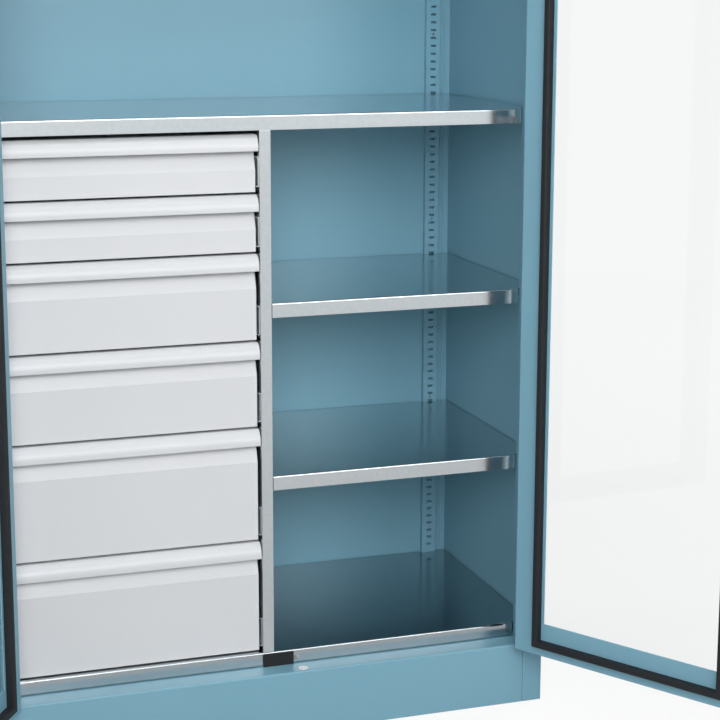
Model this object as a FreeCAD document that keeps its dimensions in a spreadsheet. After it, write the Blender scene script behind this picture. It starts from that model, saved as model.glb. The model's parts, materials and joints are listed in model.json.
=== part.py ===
"""Heavy-duty steel cabinet with two glazed doors, six drawers, shelves and a three-point lock.

Millimetres, +Z up, +Y towards the back. The origin is on the floor, under the middle of the carcass.
The drawers are closed, and both doors stand open on their hinge pins.
"""

import FreeCAD, Part
import math
import os
import re

import Sketcher

doc = FreeCAD.newDocument("HeavyDutyCabinet")
Vector = FreeCAD.Vector

# Driving dimensions, one cell each
SIZES = [
    ("cabinet_width", "1000"),
    ("cabinet_depth", "500"),
    ("cabinet_height", "1950"),
    ("carcass_gauge", "1.5"),
    ("post_face", "37"),
    ("post_return", "46"),
    ("post_lip", "27"),
    ("rear_lip", "10"),
    ("fold_radius", "2.5"),
    ("plinth_height", "110"),
    ("plinth_flange", "60"),
    ("front_setback", "41"),
    ("floor_rise", "25"),
    ("floor_lip_gap", "2"),
    ("plinth_seam", "0.5"),
    ("header_height", "40"),
    ("rear_recess", "23"),
    ("upright_face", "29"),
    ("upright_proud", "10"),
    ("upright_gap", "24"),
    ("slot_width", "10"),
    ("slot_height", "4"),
    ("slot_pitch", "15"),
    ("slot_start", "17"),
    ("slot_margin", "20"),
    ("rivet_hole_radius", "1.75"),
    ("rivet_every", "24"),
    ("rivet_first", "20.5"),
    ("shelf_gauge", "1.5"),
    ("shelf_edge", "25"),
    ("shelf_end_gap", "4"),
    ("shelf_wall_gap", "2"),
    ("shelf_fold_radius", "2.5"),
    ("full_shelf_slots", "62"),
    ("upper_shelf_slots", "90"),
    ("right_upper_slots", "41"),
    ("right_lower_slots", "21"),
    ("floor_slot_length", "25"),
    ("floor_slot_width", "5"),
    ("floor_slot_inset", "21"),
    ("partition_thickness", "19.4"),
    ("partition_gauge", "1.2"),
    ("housing_inset", "29"),
    ("clip_gauge", "2"),
    ("clip_width", "12"),
    ("clip_reach", "15"),
    ("clip_drop", "20"),
    ("clip_inset", "14"),
    ("small_drawer", "100"),
    ("medium_drawer", "150"),
    ("large_drawer", "200"),
    ("drawer_gap", "4"),
    ("drawer_floor_gap", "2"),
    ("panel_setback", "53"),
    ("panel_thickness", "15"),
    ("recess_depth", "10.6"),
    ("crease_drop", "58.6"),
    ("handle_nose", "14"),
    ("handle_height", "27"),
    ("handle_wall", "2"),
    ("handle_lip", "3"),
    ("handle_flange", "18"),
    ("handle_radius", "24"),
    ("handle_end_gap", "2"),
    ("tray_gauge", "1.2"),
    ("tray_depth", "390"),
    ("tray_lift", "4"),
    ("tray_drop", "25"),
    ("slide_space", "13"),
    ("slide_height", "50"),
    ("slide_gauge", "1.2"),
    ("slide_play", "0.4"),
    ("slide_lift", "9"),
    ("rail_reach", "3.6"),
    ("rail_setback", "47"),
    ("telescope_reach", "11"),
    ("centre_gap", "4"),
    ("hinge_gap", "4"),
    ("door_gap", "2"),
    ("door_thickness", "24"),
    ("door_gauge", "1.5"),
    ("door_frame", "60"),
    ("door_rim", "38"),
    ("pane_thickness", "3.5"),
    ("pane_overlap", "8"),
    ("gasket_width", "11.5"),
    ("gasket_height", "14"),
    ("gasket_side_inset", "43"),
    ("gasket_end_inset", "18"),
    ("gasket_round", "3"),
    ("door_open_angle", "121.6"),
    ("pin_radius", "2.5"),
    ("pin_play", "0.05"),
    ("knuckle_radius", "4.5"),
    ("knuckle_length", "25"),
    ("knuckle_gap", "0.4"),
    ("hinge_proud", "5"),
    ("leaf_gauge", "1.4"),
    ("leaf_depth", "20"),
    ("hinge_end", "150"),
    ("pad_left", "10"),
    ("pad_right", "44"),
    ("pad_height", "22.5"),
    ("pad_thickness", "3.5"),
    ("lock_height", "1010"),
    ("lock_backset", "30"),
    ("case_inset", "14"),
    ("case_half_height", "60"),
    ("rod_inset", "52.5"),
    ("rod_setback", "14"),
    ("rod_radius", "4.5"),
    ("rod_play", "0.3"),
    ("rod_hold", "45"),
    ("rod_end_gap", "0.5"),
    ("socket_wall", "1.6"),
    ("socket_depth", "26"),
    ("socket_rim", "2"),
    ("socket_rim_height", "0.8"),
    ("spindle_radius", "4"),
    ("spindle_length", "24"),
    ("plate_half_width", "15"),
    ("plate_up", "40"),
    ("plate_down", "80"),
    ("plate_thickness", "4"),
    ("plate_corner", "8"),
    ("cylinder_radius", "8"),
    ("cylinder_drop", "52"),
    ("cylinder_proud", "3"),
    ("keyway_width", "1.6"),
    ("keyway_height", "7"),
    ("keyway_depth", "2.2"),
    ("hub_radius", "12"),
    ("hub_length", "16"),
    ("handle_turn_gap", "0.4"),
    ("lever_length", "62"),
    ("lever_half_width", "9"),
    ("lever_thickness", "9"),
]

# Places worked out from the driving dimensions
FORMULAS = {
    "right": "cabinet_width / 2",
    "front": "-cabinet_depth / 2",
    "rear": "cabinet_depth / 2",
    "wall_inner": "right - carcass_gauge",
    "post_inner": "right - post_face",
    "post_back": "front + post_return",
    "shelf_front": "front + front_setback",
    "rear_wall": "rear - rear_recess",
    "lip_front": "rear_wall - carcass_gauge",
    "upright_front": "rear_wall - upright_proud",
    "upright_outer": "right - upright_gap",
    "upright_inner": "upright_outer - upright_face",
    "slot_middle": "(upright_inner + upright_outer) / 2",
    "ledge": "plinth_height",
    "floor_top": "plinth_height + floor_rise",
    "top_under": "cabinet_height - carcass_gauge",
    "header_under": "cabinet_height - header_height",
    "slot_count": "floor((header_under - floor_top - slot_start - slot_margin) / slot_pitch) + 1",
    "rivet_count": "floor((slot_count - 1 - rivet_first) / rivet_every) + 1",
    "shelf_side": "wall_inner - shelf_wall_gap",
    "shelf_rear": "rear_wall - shelf_wall_gap",
    "shelf_end": "post_inner - shelf_end_gap",
    "notch_back": "post_back + clip_gauge + shelf_wall_gap / 2",
    "full_shelf_top": "floor_top + full_shelf_slots * slot_pitch",
    "upper_shelf_top": "floor_top + upper_shelf_slots * slot_pitch",
    "right_upper_top": "floor_top + right_upper_slots * slot_pitch",
    "right_lower_top": "floor_top + right_lower_slots * slot_pitch",
    "full_shelf_under": "full_shelf_top - shelf_edge",
    "partition_side": "partition_thickness / 2",
    "housing_face": "-(post_inner - housing_inset)",
    "panel_face": "front + panel_setback",
    "panel_back": "panel_face + panel_thickness",
    "panel_recess": "panel_face + recess_depth",
    "nose": "panel_face - handle_nose",
    "tray_back": "panel_back + tray_depth",
    "door_free": "centre_gap / 2",
    "door_hinge": "post_inner - hinge_gap",
    "door_bottom": "ledge + door_gap",
    "door_top": "header_under - door_gap",
    "door_inside": "front + door_thickness",
    "pane_back": "door_inside - door_gauge",
    "pane_front": "pane_back - pane_thickness",
    "pivot_x": "post_inner - hinge_gap / 2",
    "pivot_y": "front - hinge_proud",
    "rod_x": "door_free + rod_inset",
    "rod_y": "front + rod_setback",
    "lock_x": "door_free + lock_backset",
    "case_top": "lock_height + case_half_height",
    "case_foot": "lock_height - case_half_height",
    "upper_rod_end": "case_top - rod_hold",
    "lower_rod_end": "case_foot + rod_hold",
    "rod_bore": "rod_radius + rod_play",
    "socket_radius": "rod_bore + socket_wall",
    "plate_face": "front - plate_thickness",
}

sheet = doc.addObject("Spreadsheet::Sheet", "Dims")
for row, (cell_name, cell_value) in enumerate(SIZES, start=1):
    sheet.set(f"A{row}", cell_name)
    sheet.set(f"B{row}", cell_value)
    sheet.setAlias(f"B{row}", cell_name)
doc.recompute()
CELLS = {cell_name for cell_name, _ in SIZES}


def tied(formula):
    """The formula as an expression on the sheet, with every derived place written out."""

    def written_out(match):
        word = match.group(0)
        if word in FORMULAS:
            return f"({tied(FORMULAS[word])})"
        return f"Dims.{word}" if word in CELLS else word

    return re.sub(r"[a-z][a-z0-9_]*", written_out, formula)


def number(formula):
    """The formula's value now, for the first guess of a sketch point."""
    return float(sheet.evalExpression(tied(formula)))


# Solids

def block(name, x, y, z):
    """A box between three pairs of formulas."""
    solid = doc.addObject("Part::Box", name)
    for length, place, (low, high) in (("Length", "x", x), ("Width", "y", y), ("Height", "z", z)):
        solid.setExpression(length, tied(f"({high}) - ({low})"))
        solid.setExpression(f"Placement.Base.{place}", tied(low))
    return solid


def upright_cylinder(name, radius, x, y, z):
    """A cylinder along Z between a pair of formulas."""
    solid = doc.addObject("Part::Cylinder", name)
    low, high = z
    solid.setExpression("Radius", tied(radius))
    solid.setExpression("Height", tied(f"({high}) - ({low})"))
    for place, formula in (("x", x), ("y", y), ("z", low)):
        solid.setExpression(f"Placement.Base.{place}", tied(formula))
    return solid


def level_cylinder(name, radius, x, y, z):
    """A cylinder along Y between a pair of formulas."""
    solid = doc.addObject("Part::Cylinder", name)
    low, high = y
    solid.Placement = FreeCAD.Placement(Vector(), FreeCAD.Rotation(Vector(1, 0, 0), -90))
    solid.setExpression("Radius", tied(radius))
    solid.setExpression("Height", tied(f"({high}) - ({low})"))
    for place, formula in (("x", x), ("y", low), ("z", z)):
        solid.setExpression(f"Placement.Base.{place}", tied(formula))
    return solid


def fused(name, *solids):
    joined = doc.addObject("Part::MultiFuse", name)
    joined.Shapes = list(solids)
    joined.Refine = True
    return joined


def cut(name, base, *tools):
    """The base less each tool in turn."""
    for count, tool in enumerate(tools, start=1):
        less = doc.addObject("Part::Cut", name if count == len(tools) else f"{name}_step")
        less.Base = base
        less.Tool = tool
        less.Refine = True
        base = less
    return base


def grouped(name, *solids):
    group = doc.addObject("Part::Compound", name)
    group.Links = list(solids)
    return group


def mirrored(name, source):
    """A copy on the other side of the cabinet's middle plane."""
    copy = doc.addObject("Part::Mirroring", name)
    copy.Source = source
    copy.Normal = Vector(1, 0, 0)
    copy.Base = Vector(0, 0, 0)
    return copy


def rounded(name, source, radius, wanted):
    """The source with a fillet on each edge whose end points pass the test."""
    doc.recompute()
    size = number(radius)
    fillet = doc.addObject("Part::Fillet", name)
    fillet.Base = source
    fillet.Edges = [
        (index, size, size)
        for index, edge in enumerate(source.Shape.Edges, start=1)
        if wanted([vertex.Point for vertex in edge.Vertexes])
    ]
    return fillet


def along(y, z):
    """A test for the edge that runs from side to side at a depth and a height."""
    depth, height = number(y), number(z)
    return lambda ends: all(abs(p.y - depth) + abs(p.z - height) < 0.01 for p in ends)


def arc_centre(start, end, radius, side):
    """The centre of an arc from start to end: left of the chord where side is 1, else right of it."""
    chord = end - start
    rise = math.sqrt(radius ** 2 - (chord.Length / 2) ** 2)
    across = Vector(-chord.y, chord.x, 0) / chord.Length
    return start + chord / 2 + across * rise * side


def outlined(body, name, plane, points):
    """A fully constrained closed sketch through pairs of formulas.

    A point may carry a radius and a side: then an arc, and not a line, runs on from it to the next point.
    """
    sketch = body.newObject("Sketcher::SketchObject", name)
    planes = {feature.Role: feature for feature in body.Origin.OriginFeatures}
    sketch.AttachmentSupport = [(planes[plane], "")]
    sketch.MapMode = "FlatFace"
    places = [Vector(number(point[0]), number(point[1]), 0) for point in points]
    ends = []
    for index, point in enumerate(points):
        start, end = places[index], places[(index + 1) % len(points)]
        if len(point) == 2:
            sketch.addGeometry(Part.LineSegment(start, end))
            ends.append((1, 2))
            continue
        radius, side = number(point[2]), point[3]
        centre = arc_centre(start, end, radius, side)
        first, last = (start, end) if side > 0 else (end, start)
        angles = [math.atan2(p.y - centre.y, p.x - centre.x) for p in (first, last)]
        if angles[1] < angles[0]:
            angles[1] += 2 * math.pi
        circle = Part.Circle(centre, Vector(0, 0, 1), radius)
        sketch.addGeometry(Part.ArcOfCircle(circle, *angles))
        ends.append((1, 2) if side > 0 else (2, 1))
    for index, (_, end) in enumerate(ends):
        following = (index + 1) % len(points)
        sketch.addConstraint(Sketcher.Constraint("Coincident", index, end, following, ends[following][0]))
    for index, point in enumerate(points):
        for kind, formula, value in (
            ("DistanceX", point[0], places[index].x),
            ("DistanceY", point[1], places[index].y),
        ):
            rule = sketch.addConstraint(
                Sketcher.Constraint(kind, -1, 1, index, ends[index][0], value)
            )
            sketch.setExpression(f"Constraints[{rule}]", tied(formula))
        if len(point) > 2:
            rule = sketch.addConstraint(Sketcher.Constraint("Radius", index, number(point[2])))
            sketch.setExpression(f"Constraints[{rule}]", tied(point[2]))
    return sketch


def prism(name, plane, points, low, high):
    """A body whose outline on an origin plane runs from low to high along that plane's normal axis."""
    body = doc.addObject("PartDesign::Body", name)
    sketch = outlined(body, f"{name}_outline", plane, points)
    pad = body.newObject("PartDesign::Pad", f"{name}_pad")
    pad.Profile = sketch
    pad.setExpression("Length", tied(f"({high}) - ({low})"))
    sketch.setExpression("AttachmentOffset.Base.z", tied(low))
    return body


nodes = []


def node(name, solid):
    """Names a finished piece, which is written to its own file."""
    solid.Label = name
    nodes.append(solid)
    return solid


def swung(name, closed, side):
    """A piece of a closed door turned about its hinge pin to the open angle.

    The side is 1 for the right door and -1 for the left.
    """
    piece = grouped(name, closed)
    piece.Placement = FreeCAD.Placement(Vector(), FreeCAD.Rotation(Vector(0, 0, side), 1))
    piece.setExpression("Placement.Rotation.Angle", tied("door_open_angle"))
    shift_x = "pivot_x * (1 - cos(door_open_angle)) + pivot_y * sin(door_open_angle)"
    shift_y = "pivot_y * (1 - cos(door_open_angle)) - pivot_x * sin(door_open_angle)"
    piece.setExpression("Placement.Base.x", tied(f"{side} * ({shift_x})"))
    piece.setExpression("Placement.Base.y", tied(shift_y))
    return node(name, piece)


# Side panels: one folded sheet each, with the hollow front post, its door jamb and the lips inside

side_panel = prism(
    "right_side_panel",
    "XY_Plane",
    [
        ("right", "front + fold_radius"),
        ("right", "rear"),
        ("wall_inner", "rear"),
        ("wall_inner", "rear_wall"),
        ("wall_inner - rear_lip", "rear_wall"),
        ("wall_inner - rear_lip", "lip_front"),
        ("wall_inner", "lip_front"),
        ("wall_inner", "front + carcass_gauge"),
        ("post_inner + carcass_gauge", "front + carcass_gauge"),
        ("post_inner + carcass_gauge", "post_back - carcass_gauge"),
        ("post_inner + post_lip", "post_back - carcass_gauge"),
        ("post_inner + post_lip", "post_back"),
        ("post_inner", "post_back"),
        ("post_inner", "front + fold_radius", "fold_radius", 1),
        ("post_inner + fold_radius", "front"),
        ("right - fold_radius", "front", "fold_radius", 1),
    ],
    "0",
    "top_under",
)
node("right_side_panel", side_panel)
node("left_side_panel", mirrored("left_side_panel", side_panel))


# Rear panel: a shallow pan whose flanges stand to the back, between the side panels

node(
    "rear_panel",
    cut(
        "rear_panel",
        block(
            "rear_panel_sheet",
            ("-(wall_inner)", "wall_inner"),
            ("rear_wall", "rear"),
            ("0", "top_under"),
        ),
        block(
            "rear_panel_hollow",
            ("-(wall_inner) + carcass_gauge", "wall_inner - carcass_gauge"),
            ("rear_wall + carcass_gauge", "rear + carcass_gauge"),
            ("carcass_gauge", "top_under - carcass_gauge"),
        ),
    ),
)


# Top panel: the roof sheet, with the box header that the doors close under

def rod_hole(name, radius, z):
    """A hole on the axis that the lock rods share when the right door is closed."""
    return upright_cylinder(name, radius, "rod_x", "rod_y", z)


header_block = block(
    "header_outside",
    ("-(post_inner)", "post_inner"),
    ("front", "shelf_front"),
    ("header_under", "top_under"),
)
header = cut(
    "header",
    rounded("header_folded", header_block, "fold_radius", along("front", "header_under")),
    block(
        "header_hollow",
        ("-(post_inner) + carcass_gauge", "post_inner - carcass_gauge"),
        ("front + carcass_gauge", "shelf_front - carcass_gauge"),
        ("header_under + carcass_gauge", "top_under"),
    ),
    rod_hole(
        "header_rod_hole",
        "socket_radius",
        ("header_under - carcass_gauge", "header_under + 2 * carcass_gauge"),
    ),
)
roof = block(
    "roof",
    ("-(right)", "right"),
    ("front", "rear"),
    ("top_under", "cabinet_height"),
)
node("top_panel", fused("top_panel", roof, header))


# Base frame: a welded ring of C rails, whose front is the plinth and whose top is the door ledge

base_block = block(
    "base_outside",
    ("-(wall_inner)", "wall_inner"),
    ("front", "lip_front"),
    ("0", "ledge"),
)
base_ring = cut(
    "base_frame",
    rounded("base_folded", base_block, "fold_radius", along("front", "ledge")),
    block(
        "base_rail_hollow",
        ("-(wall_inner) + carcass_gauge", "wall_inner - carcass_gauge"),
        ("front + carcass_gauge", "lip_front - carcass_gauge"),
        ("carcass_gauge", "ledge - carcass_gauge"),
    ),
    block(
        "base_window",
        ("-(wall_inner) + plinth_flange", "wall_inner - plinth_flange"),
        ("front + plinth_flange", "lip_front - plinth_flange"),
        ("-carcass_gauge", "ledge + carcass_gauge"),
    ),
    block(
        "base_right_corner",
        ("post_inner - plinth_seam", "right"),
        ("front - carcass_gauge", "post_back"),
        ("-carcass_gauge", "ledge + carcass_gauge"),
    ),
    block(
        "base_left_corner",
        ("-(right)", "plinth_seam - post_inner"),
        ("front - carcass_gauge", "post_back"),
        ("-carcass_gauge", "ledge + carcass_gauge"),
    ),
    rod_hole(
        "ledge_rod_hole",
        "socket_radius",
        ("ledge - 2 * carcass_gauge", "ledge + carcass_gauge"),
    ),
)
node("base_frame", base_ring)


# Rod sockets: white moulded cups pressed into the ledge and the header, open towards the door

def rod_socket(name, rim_z, cup_z, mouth):
    """A cup with a rim that lies on the sheet, and with its mouth towards the door."""
    rim_disc = rod_hole(f"{name}_rim", "socket_radius + socket_rim", rim_z)
    cup = rod_hole(f"{name}_cup", "socket_radius", cup_z)
    return cut(
        name,
        fused(f"{name}_outside", rim_disc, cup),
        rod_hole(f"{name}_mouth", "rod_bore", mouth),
    )


lower_socket = rod_socket(
    "lower_socket",
    ("ledge", "ledge + socket_rim_height"),
    ("ledge - socket_depth", "ledge + socket_rim_height"),
    ("ledge - socket_depth + socket_wall", "ledge + 2 * socket_rim_height"),
)
upper_socket = rod_socket(
    "upper_socket",
    ("header_under - socket_rim_height", "header_under"),
    ("header_under - socket_rim_height", "header_under + socket_depth"),
    ("header_under - 2 * socket_rim_height", "header_under + socket_depth - socket_wall"),
)
node("rod_sockets", grouped("rod_sockets", lower_socket, upper_socket))


# Rear uprights: slotted channels that carry the shelf clips

upright = prism(
    "right_upright",
    "XY_Plane",
    [
        ("upright_inner", "upright_front"),
        ("upright_outer", "upright_front"),
        ("upright_outer", "rear_wall"),
        ("upright_outer - carcass_gauge", "rear_wall"),
        ("upright_outer - carcass_gauge", "upright_front + carcass_gauge"),
        ("upright_inner + carcass_gauge", "upright_front + carcass_gauge"),
        ("upright_inner + carcass_gauge", "rear_wall"),
        ("upright_inner", "rear_wall"),
    ],
    "ledge",
    "top_under",
)
upright_axes = {feature.Role: feature for feature in upright.Origin.OriginFeatures}
first_slot = "floor_top + slot_start"
slot_outline = outlined(
    upright,
    "slot_outline",
    "XZ_Plane",
    [
        ("slot_middle - slot_width / 2", f"{first_slot} - slot_height / 2"),
        ("slot_middle + slot_width / 2", f"{first_slot} - slot_height / 2"),
        ("slot_middle + slot_width / 2", f"{first_slot} + slot_height / 2"),
        ("slot_middle - slot_width / 2", f"{first_slot} + slot_height / 2"),
    ],
)
rivet_outline = upright.newObject("Sketcher::SketchObject", "rivet_outline")
rivet_outline.AttachmentSupport = [(upright_axes["XZ_Plane"], "")]
rivet_outline.MapMode = "FlatFace"
first_rivet = f"{first_slot} + rivet_first * slot_pitch"
rivet_outline.addGeometry(
    Part.Circle(
        Vector(number("slot_middle"), number(first_rivet), 0),
        Vector(0, 0, 1),
        number("rivet_hole_radius"),
    )
)
for kind, formula in (("DistanceX", "slot_middle"), ("DistanceY", first_rivet)):
    rule = rivet_outline.addConstraint(Sketcher.Constraint(kind, -1, 1, 0, 3, number(formula)))
    rivet_outline.setExpression(f"Constraints[{rule}]", tied(formula))
rule = rivet_outline.addConstraint(Sketcher.Constraint("Radius", 0, number("rivet_hole_radius")))
rivet_outline.setExpression(f"Constraints[{rule}]", tied("rivet_hole_radius"))
doc.recompute()
for outline, count, pitch in (
    (slot_outline, "slot_count", "slot_pitch"),
    (rivet_outline, "rivet_count", "slot_pitch * rivet_every"),
):
    pocket = upright.newObject("PartDesign::Pocket", f"{outline.Name}_cut")
    pocket.Profile = outline
    pocket.Type = "ThroughAll"
    pocket.Midplane = True
    doc.recompute()
    pattern = upright.newObject("PartDesign::LinearPattern", f"{outline.Name}_row")
    pattern.Originals = [pocket]
    pattern.Direction = (upright_axes["Z_Axis"], [""])
    pattern.setExpression("Length", tied(f"({count} - 1) * {pitch}"))
    pattern.setExpression("Occurrences", tied(count))
    upright.Tip = pattern
    doc.recompute()
node("rear_uprights", grouped("rear_uprights", upright, mirrored("left_upright", upright)))


# Floor tray and shelves: galvanised pans, notched round the front posts and the rear uprights

def pan(name, x, top, edge, notched_sides):
    """A folded pan with its top sheet at a height and its edges turned down."""
    low, high = x
    outside = block(f"{name}_outside", x, ("shelf_front", "shelf_rear"), (f"{top} - {edge}", top))
    folded = rounded(f"{name}_folded", outside, "shelf_fold_radius", along("shelf_front", top))
    tools = [
        block(
            f"{name}_hollow",
            (f"{low} + shelf_gauge", f"{high} - shelf_gauge"),
            ("shelf_front + shelf_gauge", "shelf_rear - shelf_gauge"),
            (f"{top} - {edge} - shelf_gauge", f"{top} - shelf_gauge"),
        )
    ]
    for side in notched_sides:
        tools.append(
            block(
                f"{name}_post_notch",
                side("shelf_end", "right"),
                ("shelf_front - shelf_gauge", "notch_back"),
                (f"{top} - {edge} - shelf_gauge", f"{top} + shelf_gauge"),
            )
        )
        tools.append(
            block(
                f"{name}_upright_notch",
                side("upright_inner - shelf_wall_gap", "upright_outer + shelf_wall_gap"),
                ("upright_front - shelf_wall_gap / 2", "rear"),
                (f"{top} - {edge} - shelf_gauge", f"{top} + shelf_gauge"),
            )
        )
    return folded, tools


def on_right(low, high):
    return low, high


def on_left(low, high):
    return f"-({high})", f"-({low})"


whole_width = ("-(shelf_side)", "shelf_side")
right_half = ("partition_side + shelf_wall_gap / 2", "shelf_side")
both = (on_right, on_left)

floor_sheet, floor_cuts = pan("floor_tray", whole_width, "floor_top", "floor_rise", both)
for side in both:
    floor_cuts.append(
        block(
            "floor_slot",
            side("post_inner - floor_slot_inset - floor_slot_length", "post_inner - floor_slot_inset"),
            ("shelf_front - shelf_gauge", "shelf_front + floor_slot_width"),
            ("floor_top - shelf_fold_radius", "floor_top + shelf_gauge"),
        )
    )
floor_cuts.append(
    block(
        "floor_lip_clearance",
        ("-(shelf_end)", "shelf_end"),
        ("shelf_front - shelf_gauge", "shelf_front + shelf_gauge"),
        ("ledge - shelf_gauge", "ledge + floor_lip_gap"),
    )
)
node("floor_tray", cut("floor_tray", floor_sheet, *floor_cuts))

for name, x, top, sides in (
    ("full_shelf", whole_width, "full_shelf_top", both),
    ("upper_shelf", whole_width, "upper_shelf_top", both),
    ("right_shelf_upper", right_half, "right_upper_top", (on_right,)),
    ("right_shelf_lower", right_half, "right_lower_top", (on_right,)),
):
    shelf_sheet, shelf_cuts = pan(name, x, top, "shelf_edge", sides)
    node(name, cut(name, shelf_sheet, *shelf_cuts))


# Partition: a folded channel from the floor tray to the full shelf, closed at the front

node(
    "partition",
    cut(
        "partition",
        block(
            "partition_outside",
            ("-(partition_side)", "partition_side"),
            ("shelf_front", "upright_front"),
            ("floor_top", "full_shelf_under"),
        ),
        block(
            "partition_hollow",
            ("-(partition_side) + partition_gauge", "partition_side - partition_gauge"),
            ("shelf_front + partition_gauge", "upright_front + partition_gauge"),
            ("floor_top - partition_gauge", "full_shelf_under + partition_gauge"),
        ),
    ),
)


# Drawer housing side: a folded panel that carries the left drawer rails clear of the open door

housing_side = prism(
    "drawer_housing_side",
    "XY_Plane",
    [
        ("housing_face", "shelf_front"),
        ("housing_face", "upright_front"),
        ("-(slot_middle)", "upright_front"),
        ("-(slot_middle)", "upright_front - partition_gauge"),
        ("housing_face - partition_gauge", "upright_front - partition_gauge"),
        ("housing_face - partition_gauge", "shelf_front + partition_gauge"),
        ("-(shelf_end)", "shelf_front + partition_gauge"),
        ("-(shelf_end)", "shelf_front"),
    ],
    "floor_top",
    "full_shelf_under",
)
node("drawer_housing_side", housing_side)


# Shelf clips: bent tabs on the posts, the uprights and the partition, under each shelf's top sheet

def bracket(name, plate_x, plate_y, reach_x, reach_y, top):
    """A hanging plate with a level tongue at its upper edge."""
    plate = block(f"{name}_plate", plate_x, plate_y, (f"{top} - clip_drop", top))
    tongue = block(f"{name}_tongue", reach_x, reach_y, (f"{top} - clip_gauge", top))
    return fused(name, plate, tongue)


clips = []
for shelf, top, sides in (
    ("full", "full_shelf_top", both),
    ("upper", "upper_shelf_top", both),
    ("right_upper", "right_upper_top", (on_right,)),
    ("right_lower", "right_lower_top", (on_right,)),
):
    under_sheet = f"{top} - shelf_gauge"
    for side in sides:
        rear_x = side("slot_middle - clip_width / 2", "slot_middle + clip_width / 2")
        clips.append(
            bracket(
                f"{shelf}_rear_clip",
                rear_x,
                ("upright_front - clip_gauge", "upright_front"),
                rear_x,
                ("upright_front - clip_reach", "upright_front"),
                under_sheet,
            )
        )
        front_x = side("post_inner + clip_width / 2", "post_inner + clip_width * 3 / 2")
        clips.append(
            bracket(
                f"{shelf}_front_clip",
                front_x,
                ("post_back", "post_back + clip_gauge"),
                front_x,
                ("post_back", "post_back + clip_reach"),
                under_sheet,
            )
        )
    if len(sides) == 1:
        for place in ("shelf_front + clip_inset", "shelf_rear - clip_inset - clip_width"):
            clip_y = (place, f"{place} + clip_width")
            clips.append(
                bracket(
                    f"{shelf}_partition_clip",
                    ("partition_side", "partition_side + clip_gauge"),
                    clip_y,
                    ("partition_side", "partition_side + clip_reach"),
                    clip_y,
                    f"{top} - shelf_edge",
                )
            )
node("shelf_clips", grouped("shelf_clips", *clips))


# Drawer slides: three nested channels a side, fixed rail, telescope and the drawer's own member

bay_left = "housing_face"
bay_right = "-(partition_side)"


def from_left(low, high):
    """A stretch measured from the housing side towards the drawer."""
    return f"{bay_left} + {low}", f"{bay_left} + {high}"


def from_right(low, high):
    """A stretch measured from the partition towards the drawer."""
    return f"{bay_right} - ({high})", f"{bay_right} - ({low})"


def channel(name, side, reach, hollow, y, z, inset):
    """A C channel along Y: its section between two reaches, less the hollow that opens one side of it."""
    low, high = (f"{z[0]} + {inset}", f"{z[1]} - ({inset})")
    outside = block(f"{name}_outside", side(*reach), y, (low, high))
    inside = block(
        f"{name}_inside",
        side(*hollow),
        (f"{y[0]} - slide_gauge", f"{y[1]} + slide_gauge"),
        (f"{low} + slide_gauge", f"{high} - slide_gauge"),
    )
    return cut(name, outside, inside)


def fixed_rail(name, side, rear_end, z):
    y = ("front + rail_setback", rear_end)
    return channel(name, side, ("0", "rail_reach"), ("slide_gauge", "slide_space"), y, z, "0")


def telescope(name, side, y, z):
    reach = ("slide_gauge + slide_play", "telescope_reach")
    hollow = ("2 * slide_gauge + slide_play", "slide_space")
    return channel(name, side, reach, hollow, y, z, "slide_gauge + slide_play")


def drawer_member(name, side, y, z):
    reach = ("2 * slide_gauge + 2 * slide_play", "slide_space")
    hollow = ("slide_gauge", "slide_space - slide_gauge")
    return channel(name, side, reach, hollow, y, z, "2 * slide_gauge + 2 * slide_play")


# Drawers: a pressed front with a finger recess, a curved grip strip, a folded tray and its slides

def drawer_front(name, base, top):
    return prism(
        name,
        "YZ_Plane",
        [
            ("panel_face", base),
            ("panel_back", base),
            ("panel_back", top),
            ("panel_recess", top),
            ("panel_recess", f"{top} - handle_height"),
            ("panel_face", f"{top} - crease_drop"),
        ],
        f"{bay_left} + drawer_gap",
        f"{bay_right} - drawer_gap",
    )


def grip_strip(name, top):
    """A hook-shaped strip: a flange on the front, a level top, a rounded nose and a short lip."""
    return prism(
        name,
        "YZ_Plane",
        [
            ("panel_recess", top),
            ("panel_recess", f"{top} - handle_flange"),
            ("panel_recess - handle_wall", f"{top} - handle_flange"),
            ("panel_recess - handle_wall", f"{top} - handle_wall"),
            ("panel_face + handle_wall / 2", f"{top} - handle_wall", "handle_radius - handle_wall", 1),
            ("nose + handle_wall", f"{top} - handle_height + handle_lip"),
            ("nose + handle_wall", f"{top} - handle_height"),
            ("nose", f"{top} - handle_height"),
            ("nose", f"{top} - handle_height + handle_lip", "handle_radius", -1),
            ("panel_face", top),
        ],
        f"{bay_left} + handle_end_gap",
        f"{bay_right} - handle_end_gap",
    )


def drawer_tray(name, base, top, slide_z):
    x = (f"{bay_left} + slide_space", f"{bay_right} - slide_space")
    y = ("panel_back", "tray_back")
    box = cut(
        f"{name}_box",
        block(f"{name}_outside", x, y, (f"{base} + tray_lift", f"{top} - tray_drop")),
        block(
            f"{name}_inside",
            (f"{x[0]} + tray_gauge", f"{x[1]} - tray_gauge"),
            (f"{y[0]} + tray_gauge", f"{y[1]} - tray_gauge"),
            (f"{base} + tray_lift + tray_gauge", f"{top} + tray_gauge"),
        ),
    )
    members = [
        drawer_member(f"{name}_{label}_member", side, y, slide_z)
        for label, side in (("left", from_left), ("right", from_right))
    ]
    return fused(name, box, *members)


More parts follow.
